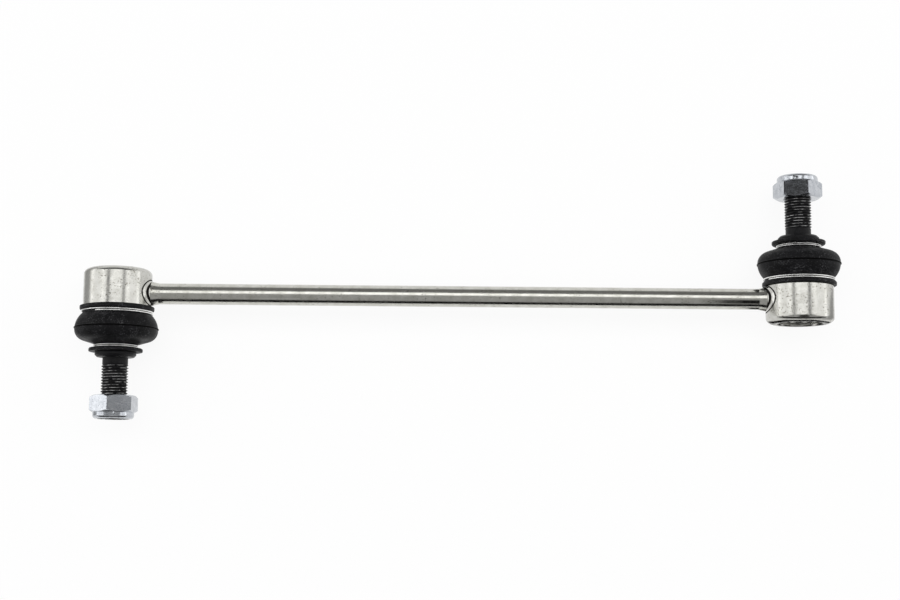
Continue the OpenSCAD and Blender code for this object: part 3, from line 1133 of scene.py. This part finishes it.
@dataclass
class DustBoot:
    """The moulded rubber boot between the housing and the stud."""

    place: JointPlace
    finish: Material
    wall: float = 1.9 * MM
    lip: float = 16.45 * MM
    lip_height: float = 1.8 * MM
    bead: float = 13.65 * MM
    over_rim: float = 14.25 * MM
    rim_cover: float = 1.4 * MM
    cavity_rise: float = 1.5 * MM
    clip_wall: float = 1.5 * MM
    clip_groove: float = 1.84 * MM
    flank_start: float = 0.375 * MM
    bulge: float = 18.4 * MM
    middle: float = 16.6 * MM
    shoulder: float = 5.0 * MM
    shoulder_start: float = 0.08
    seam_width: float = 0.5 * MM
    seam_drop: float = 2.5
    seam_foot: float = 0.01 * MM
    seam_proud: float = 0.02 * MM
    flank_end: float = 4.0
    flank_inner_end: float = -0.05
    neck_lip: float = 11.9 * MM
    neck_lip_height: float = 1.6 * MM
    neck_wall: float = 2.15 * MM
    neck_hole: float = 7.1 * MM
    neck_groove: float = 1.58 * MM
    soft: float = 0.3 * MM
    smooth: float = math.radians(50)

    def build(self) -> None:
        """Models the boot and lays it in place with its finish."""
        base, top = self.place.span("boot")
        piece = turned(f"dust_boot_{self.place.side.word}", self.profile(base, top), closed=True)
        self.mark_seam(piece)
        node = self.place.node("boot")
        complete(piece, self.place.matrix, self.finish, node, self.smooth)
        start, end = base + self.lip_height + self.clip_groove, top - self.neck_lip_height - self.neck_groove
        seat, neck = self.place.body("seat"), self.place.body("boot_neck")
        self.place.along(start)
        self.place.along(end)
        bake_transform(piece)

    def profile(self, base: float, top: float) -> Profile:
        """Draws the boot's wall, up the outside and down the inside.

        Args:
            base: Height of the edge on the housing.
            top: Height of the edge under the stud's collar.

        Returns:
            The closed profile.
        """
        b, proud = self.soft, self.place.radius("boot")
        lip_top, floor = base + self.lip_height, self.bead + self.clip_wall
        flank_base, flank_r = lip_top + self.clip_groove, floor + self.flank_start
        step, rise = self.bulge - flank_r, self.middle - flank_base
        flank = (step * step + rise * rise) / (2 * step)
        flank_centre, shoulder_r = (self.bulge - flank, self.middle), self.shoulder
        shoulder_centre = (self.bulge - shoulder_r, self.middle)
        neck_r, neck_top = self.neck_hole + self.neck_wall, top - self.neck_lip_height
        neck_base = neck_top - self.neck_groove
        run, climb = neck_r - shoulder_centre[0], neck_base - self.middle
        leave = math.atan2(climb, run) - math.acos(shoulder_r / math.hypot(run, climb))
        flank_in, shoulder_in = flank - self.wall, shoulder_r - self.wall
        seam_turn = self.seam_width / self.bulge
        seam, crown = self.middle - self.seam_drop * seam_turn * flank, self.seam_width / 4
        cavity = flank_base + self.cavity_rise
        rim_low = cavity - self.rim_cover
        profile = Profile((self.lip, base, b), (self.lip, lip_top, 2 * b))
        profile.through((floor, lip_top, b), (floor, flank_base, b))
        flank_low = math.asin((flank_base - self.middle) / flank)
        profile.arc(flank_centre, flank, flank_low, -self.flank_end * seam_turn)
        profile.through((self.bulge - self.seam_foot, seam - self.seam_width), (proud, seam - crown, b / 4))
        profile.through((proud, seam + crown, b / 4), (self.bulge, seam + self.seam_width))
        profile.arc(shoulder_centre, shoulder_r, self.shoulder_start, leave)
        profile.through((neck_r, neck_base, 2 * b), (neck_r, neck_top, b))
        profile.through((self.neck_lip, neck_top, 2 * b), (self.neck_lip, top, b))
        hole_end = self.inner_slope(shoulder_centre, shoulder_in, leave)
        profile.through((self.neck_hole, top, b), (self.neck_hole, hole_end, b))
        profile.arc(shoulder_centre, shoulder_in, leave, 0.0)
        cavity_turn = math.asin((cavity + b - self.middle) / flank_in)
        profile.arc(flank_centre, flank_in, self.flank_inner_end, cavity_turn)
        profile.through((self.over_rim, cavity, b), (self.over_rim, rim_low))
        return profile.through((self.bead, rim_low), (self.bead, base, b))

    def mark_seam(self, piece: Piece) -> None:
        """Marks the points on the moulding seam, which stands proud of the boot's widest place.

        Args:
            piece: The boot, still upright.
        """
        mark = piece.data.attributes.new(SEAM_MARK, "FLOAT", "POINT")
        for point in piece.data.vertices:
            proud = math.hypot(point.co.x, point.co.y) > self.bulge + self.seam_proud
            mark.data[point.index].value = 1.0 if proud else 0.0

    def inner_slope(self, centre: Pair, radius: float, leave: float) -> float:
        """Height at which the inner wall's sloped stretch reaches the neck's hole."""
        start_r, start_h = centre[0] + radius * math.cos(leave), centre[1] + radius * math.sin(leave)
        return start_h + (start_r - self.neck_hole) * math.cos(leave) / math.sin(leave)


@dataclass
class WireClip:
    """A spring clip: one wire laid round more than once, crossing from one turn to the other."""

    place: JointPlace
    finish: Material
    name: str
    body: str
    wire: float
    start: float
    drawn: float = 0.86
    sweep: float = math.radians(575)
    cross_at: float = math.radians(260)
    cross: float = math.radians(40)
    section: int = 14
    rings: int = 220
    smooth: float = math.radians(60)

    def build(self) -> None:
        """Screws the wire's section round the stud, moves each ring to its turn and hands the clip over."""
        base, top = self.place.span(self.name)
        wire_r = self.wire / 2
        radius = self.place.radius(self.name) - wire_r
        pitch = top - base - self.wire
        bpy.ops.mesh.primitive_circle_add(vertices=self.section, radius=wire_r * self.drawn,
                                          rotation=(QUARTER_TURN, 0, 0))
        piece = named(f"wire_{self.name}_{self.place.side.word}")
        piece.location = (radius, 0, base + wire_r)
        bpy.ops.object.transform_apply(location=True, rotation=True, scale=True)
        modify(piece, "SCREW", angle=-self.sweep, steps=self.rings, render_steps=self.rings,
               use_merge_vertices=False)
        for point in piece.data.vertices:
            turned_by = self.sweep * (point.index // self.section) / self.rings
            share = min(1.0, max(0.0, (turned_by - self.cross_at) / self.cross + 0.5))
            point.co.z += pitch * (1 - share * share * (3 - 2 * share))
        self.close_ends()
        place = self.place.matrix @ Matrix.Rotation(self.start, 4, "Z")
        complete(piece, place, self.finish, self.place.node(self.name), self.smooth)
        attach(piece, self.body)

    @staticmethod
    def close_ends() -> None:
        """Fills the two open ends of the wire that is chosen."""
        bpy.ops.object.mode_set(mode="EDIT")
        bpy.ops.mesh.select_all(action="DESELECT")
        bpy.ops.mesh.select_mode(type="EDGE")
        bpy.ops.mesh.select_non_manifold()
        bpy.ops.mesh.edge_face_add()
        bpy.ops.mesh.select_mode(type="VERT")
        weld_points()


@dataclass
class LockNut:
    """The hexagon nut with a rolled collar over a nylon ring."""

    place: JointPlace
    finish: Material
    turn: float
    flats: float = 19.0 * MM
    collar: float = 9.1 * MM
    collar_height: float = 2.8 * MM
    collar_root: float = 2.0 * MM
    roll: float = 1.4 * MM
    bore: float = 5.98 * MM
    lead_in: float = 6.6 * MM
    bevel: float = 0.25 * MM
    barrel_room: float = 0.5 * MM
    opening: float = 7.1 * MM
    ring_gap: float = 0.05 * MM
    drill_past: float = 1.0 * MM
    broken: float = 0.14 * MM
    smooth: float = math.radians(32)

    def build(self) -> None:
        """Models the hexagon, bevels its corners, adds the collar, drills the nut and hands it over."""
        base, top = self.place.span("nut")
        hex_top = top - self.collar_height
        corner = self.flats / 2 / math.cos(math.pi / 6)
        middle, turn = (0, 0, (base + hex_top) / 2), (0, 0, math.pi / 6)
        bpy.ops.mesh.primitive_cylinder_add(vertices=6, radius=corner, depth=2 * (hex_top - base),
                                            location=middle, rotation=turn)
        piece = named(f"lock_nut_{self.place.side.word}")
        bpy.ops.object.transform_apply(location=True, rotation=True, scale=True)
        combine(piece, self.barrel(base, hex_top, corner), "INTERSECT")
        combine(piece, self.rolled_collar(hex_top, top), "UNION")
        combine(piece, self.drill(base, top), "DIFFERENCE")
        modify(piece, "BEVEL", width=self.broken, segments=BEVEL_STEPS, limit_method="ANGLE",
               angle_limit=BEVEL_ANGLE, harden_normals=False)
        place = self.place.matrix @ Matrix.Rotation(self.turn, 4, "Z")
        complete(piece, place, self.finish, self.place.node("nut"), self.smooth)
        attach(piece, self.place.body("nut"))

    def barrel(self, base: float, top: float, corner: float) -> Piece:
        """Turns the double cone that bevels the hexagon's corners.

        Args:
            base: Height of the hexagon's lower face.
            top: Height of its upper face.
            corner: Distance of its corners from the axis.

        Returns:
            The shape that the hexagon is cut down to.
        """
        start, wide = self.flats / 2 - self.bevel, corner + self.barrel_room
        rise = (wide - start) * math.tan(math.pi / 6)
        profile = Profile((0, base), (start, base), (wide, base + rise))
        return turned("nut_barrel", profile.through((wide, top - rise), (start, top), (0, top)))

    def rolled_collar(self, base: float, top: float) -> Piece:
        """Turns the collar, whose edge is rolled in over the nylon ring.

        Args:
            base: Height at which it leaves the hexagon.
            top: Height of the nut's end.

        Returns:
            The collar, with a root that reaches into the hexagon.
        """
        sunk = base - self.collar_root
        profile = Profile((0, sunk), (self.collar, sunk))
        profile.arc((self.collar - self.roll, top - self.roll), self.roll, 0.0, QUARTER_TURN)
        return turned("nut_collar", profile.through((0, top)))

    def drill(self, base: float, top: float) -> Piece:
        """Turns the shape of the bore, its lead-in, the ring's groove and the opening above it.

        Args:
            base: Height of the nut's lower face.
            top: Height of its upper end.

        Returns:
            The cutting tool, which reaches past both ends.
        """
        ring_base, ring_top = self.place.span("nut_insert")
        ring, past = self.place.radius("nut_insert") + self.ring_gap, self.drill_past
        profile = Profile((0, base - past), (self.lead_in + past, base - past))
        profile.through((self.bore, base + self.lead_in - self.bore), (self.bore, ring_base))
        profile.through((ring, ring_base), (ring, ring_top), (self.opening, ring_top))
        return turned("nut_drill", profile.through((self.opening, top + past), (0, top + past)))


# Stage


@dataclass(frozen=True)
class Panel:
    """A soft light panel, which reflections may or may not show."""

    name: str
    centre: Triple
    size: Pair
    radiance: float
    reflected: bool = True

    def build(self) -> None:
        """Adds the panel as an area light that faces the part."""
        bpy.ops.object.light_add(type="AREA", location=self.centre)
        lamp = bpy.context.object
        lamp.name = self.name
        lamp.data.shape = "RECTANGLE"
        lamp.data.size, lamp.data.size_y = self.size
        lamp.data.energy = self.radiance * math.pi * self.size[0] * self.size[1]
        lamp.rotation_euler = (-Vector(self.centre)).to_track_quat("-Z", "Y").to_euler()
        lamp.visible_glossy = self.reflected


@dataclass(frozen=True)
class Card:
    """A black or grey card that only reflections show; the ones lying on the floor are painted shadow of the
    floor.
    """

    name: str
    centre: Triple
    size: Pair
    tilt: float = 0.0
    grey: float = 0.0

    def build(self) -> None:
        """Adds the card, tilted about X."""
        paint, graph, shader = new_material(f"{self.name} paint")
        graph.feed(shader, {
            "Base Color": (*BLACK, 1.0),
            "Specular IOR Level": 0.0,
            "Emission Color": (*WHITE, 1.0),
            "Emission Strength": self.grey,
        })
        bpy.ops.mesh.primitive_plane_add(size=1.0, location=self.centre, rotation=(self.tilt, 0, 0))
        card = named(self.name)
        card.scale = (*self.size, 1.0)
        card.data.materials.append(paint)
        card.visible_camera = card.visible_diffuse = card.visible_shadow = False
        card.visible_transmission = card.visible_volume_scatter = False


@dataclass(frozen=True)
class Studio:
    """The pale floor, the light panels, the cards and the camera at the photograph's angle."""

    image: tuple[int, int] = (900, 600)
    focal_pixels: float = 1560.0
    sensor: float = 36.0
    nearest: float = 0.01
    distance: float = 0.700
    elevation: float = math.radians(82.45)
    roll: float = math.radians(0.52)
    part_centre_pixel: Pair = (458.7, 296.6)
    floor_size: float = 24.0
    floor_glow: float = 0.9
    paper: Triple = (0.9, 0.9, 0.9)
    paper_roughness: float = 0.9
    north_sky: Triple = (0.2, 0.2, 0.2)
    south_sky: Triple = (0.42, 0.42, 0.42)
    sky_blend: Pair = (-0.15, 0.15)
    horizon: Pair = (0.08, 0.24)
    panels: tuple[Panel, ...] = (
        Panel("overhead_panel", (0.0, 0.485, 1.5), (3.2, 0.76), 1.55),
        Panel("west_panel", (-1.75, 0.2, 0.75), (1.6, 1.5), 1.05),
        Panel("east_panel", (1.75, 0.2, 0.75), (1.6, 1.5), 1.05),
        Panel("fill_panel", (0.0, 0.0, 2.6), (3.0, 3.0), 1.0, reflected=False),
    )
    cards: tuple[Card, ...] = (
        Card("south_card", (0.0, -0.39, 0.141), (2.4, 0.56), math.radians(-34.7)),
        Card("west_flag", (-0.655, 0.4, 1.3), (0.28, 0.9), grey=0.2),
        Card("east_flag", (0.655, 0.4, 1.3), (0.28, 0.9), grey=0.2),
        Card("west_nut_flag", (-0.091, -0.045, 0.0785), (0.034, 0.034), grey=0.36),
        Card("east_nut_flag", (0.125, 0.065, 0.08), (0.034, 0.03), grey=0.04),
        # Painted shadow: cards on the floor beside the housings and under the right housing's end, which
        # reflections show as the floor's shade
        Card("west_floor", (-0.32, 0.02, -0.018), (0.26, 0.16), grey=0.45),
        Card("east_floor", (0.32, -0.04, -0.018), (0.26, 0.1), grey=0.42),
        Card("end_flag", (0.157, -0.062, 0.082), (0.05, 0.075), math.radians(35)),
        Card("end_card", (0.155, -0.036, -0.018), (0.04, 0.044)),
    )

    def build(self) -> None:
        """Adds everything round the part."""
        self.add_floor()
        self.add_world()
        for thing in (*self.panels, *self.cards):
            thing.build()
        self.add_camera()
        bpy.context.scene.view_settings.view_transform = "Standard"

    def add_floor(self) -> None:
        """Adds a white floor that keeps a faint shadow of the part."""
        bpy.ops.mesh.primitive_plane_add(size=self.floor_size, location=(0, 0, CAD_BOX[0].z))
        floor = named("studio_floor")
        material, graph, paper = new_material("white floor")
        graph.feed(paper, {"Base Color": (*self.paper, 1.0), "Roughness": self.paper_roughness})
        path = graph.add("ShaderNodeLightPath").outputs
        seen = graph.math("MAXIMUM", path["Is Camera Ray"], path["Is Glossy Ray"])
        seen = graph.math("MAXIMUM", seen, path["Is Transmission Ray"])
        share = graph.math("MULTIPLY", seen, self.floor_glow)
        glow = graph.add("ShaderNodeEmission", {"Color": (*WHITE, 1.0), "Strength": 1.0})
        mixed = graph.add("ShaderNodeMixShader", {0: share, 1: paper.outputs[0], 2: glow.outputs[0]})
        graph.feed(material.node_tree.nodes["Material Output"], {"Surface": mixed.outputs[0]})
        floor.data.materials.append(material)

    def add_world(self) -> None:
        """Sets a grey room, brighter to the south, that is white near the horizon."""
        world = bpy.data.worlds.new("studio")
        world.use_nodes = True
        bpy.context.scene.world = world
        graph = Graph(world.node_tree)
        way = graph.add("ShaderNodeTexCoord").outputs["Generated"]
        parts = graph.add("ShaderNodeSeparateXYZ", {0: way}).outputs
        sky = graph.mix(graph.ramp(parts["Y"], *self.sky_blend), self.south_sky, self.north_sky)
        colour = graph.mix(graph.ramp(parts["Z"], *self.horizon), WHITE, sky)
        graph.feed(world.node_tree.nodes["Background"], {"Color": colour})

    def add_camera(self) -> None:
        """Adds the camera at the photograph's angle and framing."""
        back = Vector((0, -math.cos(self.elevation), math.sin(self.elevation)))
        right = Vector((1, 0, 0))
        up = back.cross(right)
        turn = Matrix.Rotation(self.roll, 3, back)
        right, up = turn @ right, turn @ up
        per_pixel = self.distance / self.focal_pixels
        aside = (self.part_centre_pixel[0] - self.image[0] / 2) * per_pixel
        above = (self.image[1] / 2 - self.part_centre_pixel[1]) * per_pixel
        spot = back * self.distance - right * aside - up * above
        data = bpy.data.cameras.new("photo_camera")
        data.sensor_fit = "HORIZONTAL"
        data.sensor_width = self.sensor
        data.lens = data.sensor_width * self.focal_pixels / self.image[0]
        data.clip_start = self.nearest
        camera = bpy.data.objects.new("photo_camera", data)
        bpy.context.scene.collection.objects.link(camera)
        axes = Matrix((right, up, back)).transposed().to_4x4()
        camera.matrix_world = Matrix.Translation(spot) @ axes
        bpy.context.scene.camera = camera


# Finishes of this link

ROD_ZINC = PlatedSteel(
    name="drawn zinc rod", colour=(0.62, 0.615, 0.575), clouded=(0.52, 0.515, 0.47), roughness=(0.14, 0.26),
    stretch=(160.0, 2600.0, 2600.0), speck_scale=1500.0, speck_threshold=0.66,
    speck_colour=(0.26, 0.25, 0.22), cloud_scale=260.0, mark_depth=0.012 * MM)
HOUSING_ZINC = PlatedSteel(
    name="turned zinc housing", colour=(0.58, 0.575, 0.545), clouded=(0.50, 0.495, 0.46),
    roughness=(0.16, 0.28), stretch=(700.0, 1400.0, 700.0), speck_scale=1300.0, speck_threshold=0.64,
    speck_colour=(0.22, 0.21, 0.18), cloud_scale=300.0, mark_depth=0.012 * MM)
NUT_ZINC = PlatedSteel(
    name="bright zinc nut", colour=(0.57, 0.59, 0.62), clouded=(0.43, 0.45, 0.48), roughness=(0.12, 0.22),
    stretch=(1500.0, 1500.0, 1500.0), speck_scale=1600.0, speck_threshold=0.62,
    speck_colour=(0.30, 0.31, 0.35), cloud_scale=420.0, mark_depth=0.006 * MM)
# Painted shade in the weld's grooves: a near-black steel colour for the groove faces
GROOVE_SHADE = PlatedSteel(
    name="dark weld scale", colour=(0.035, 0.033, 0.03), clouded=(0.015, 0.014, 0.013),
    roughness=(0.5, 0.65), stretch=(900.0, 900.0, 900.0), speck_scale=1800.0, speck_threshold=0.66,
    speck_colour=(0.2, 0.18, 0.14), cloud_scale=600.0, mark_depth=0.01 * MM)
CLIP_WIRE = PlatedSteel(
    name="bright clip wire", colour=(0.95, 0.95, 0.94), clouded=(0.88, 0.88, 0.86), roughness=(0.24, 0.34),
    stretch=(400.0, 400.0, 400.0), speck_scale=2500.0, speck_threshold=0.74,
    speck_colour=(0.4, 0.4, 0.38), cloud_scale=500.0, mark_depth=0.003 * MM)
RUBBER = DustyRubber(
    name="dusty black rubber", colour=(0.0025, 0.0025, 0.0028), bloom=(0.006, 0.006, 0.007),
    dust=(0.05, 0.05, 0.053), roughness=(0.4, 0.58), speck_scale=2300.0, grain_depth=0.026 * MM, shine=0.11)
SEAT_PLASTIC = MouldedPlastic(
    name="seat plastic", colour=(0.80, 0.79, 0.74), clouded=(0.72, 0.71, 0.66), roughness=(0.35, 0.5),
    cloud_scale=200.0)
NYLON = MouldedPlastic(
    name="natural nylon", colour=(0.74, 0.72, 0.64), clouded=(0.66, 0.64, 0.56), roughness=(0.3, 0.45),
    cloud_scale=300.0)

# Thickness of each clip's wire, and how deep the wear on the thread's crests reaches
LARGE_WIRE = 0.75 * MM
SMALL_WIRE = 0.62 * MM
WEAR_DEPTH = 0.16 * MM
# Angles, from the rod and towards the top, at which each clip's wire starts, and the nuts' turns
LARGE_CLIP_START = {Side.LEFT: math.radians(114), Side.RIGHT: math.radians(236)}
SMALL_CLIP_START = {Side.LEFT: math.radians(205), Side.RIGHT: math.radians(200)}
NUT_TURN = {Side.LEFT: math.radians(-26), Side.RIGHT: math.radians(-16)}


def dress_hidden(place: JointPlace, seat: Material, nylon: Material) -> None:
    """Gives the inner plastic pieces, whose solids are shown as they are, their finishes.

    Args:
        place: The ball joint that they belong to.
        seat: The ball seat's material.
        nylon: The material of the ring in the nut.
    """
    for piece, finish in (("ball_seat", seat), ("nut_insert", nylon)):
        solid = frame["nodes"][place.node(piece)]
        solid.data.materials.clear()
        solid.data.materials.append(finish)
        LOG.info("%s: finish %s", solid.name, finish.name)


def main() -> None:
    """Builds the link's pieces end by end, then the stage."""
    logging.basicConfig(level=logging.INFO, format="%(name)s: %(message)s")
    Effect.specks()
    Effect.tool_marks()
    Effect.clouding()
    # The last of these, scale, is the painted shade for the weld's grooves
    zinc_rod, zinc_cup, zinc_nut, wire, scale = (
        finish.material() for finish in (ROD_ZINC, HOUSING_ZINC, NUT_ZINC, CLIP_WIRE, GROOVE_SHADE))
    rubber, seat, nylon = (finish.material() for finish in (RUBBER, SEAT_PLASTIC, NYLON))
    ends = [JointPlace(side) for side in Side]
    crest = ends[0].crest
    blacked = BlackedSteel(
        name="black phosphate", colour=(0.004, 0.004, 0.0045), bloom=(0.008, 0.008, 0.009),
        worn=(0.5, 0.5, 0.5), roughness=(0.34, 0.5), axis_x=abs(ends[0].axis_x),
        crest=(crest - WEAR_DEPTH, crest), grain_scale=1400.0, grain_depth=0.03 * MM, shine=0.14).material()
    Rod(zinc_rod).build()
    for place in ends:
        side, neck = place.side, place.body("boot_neck")
        WeldCollar(place, zinc_cup, scale).build()
        Housing(place, zinc_cup, scale).build()
        BallStud(place, blacked).build()
        DustBoot(place, rubber).build()
        WireClip(place, wire, "large_clip", "link", LARGE_WIRE, LARGE_CLIP_START[side]).build()
        WireClip(place, wire, "small_clip", neck, SMALL_WIRE, SMALL_CLIP_START[side]).build()
        LockNut(place, zinc_nut, NUT_TURN[side]).build()
        dress_hidden(place, seat, nylon)
    Studio().build()


if __name__ == "__main__":
    main()
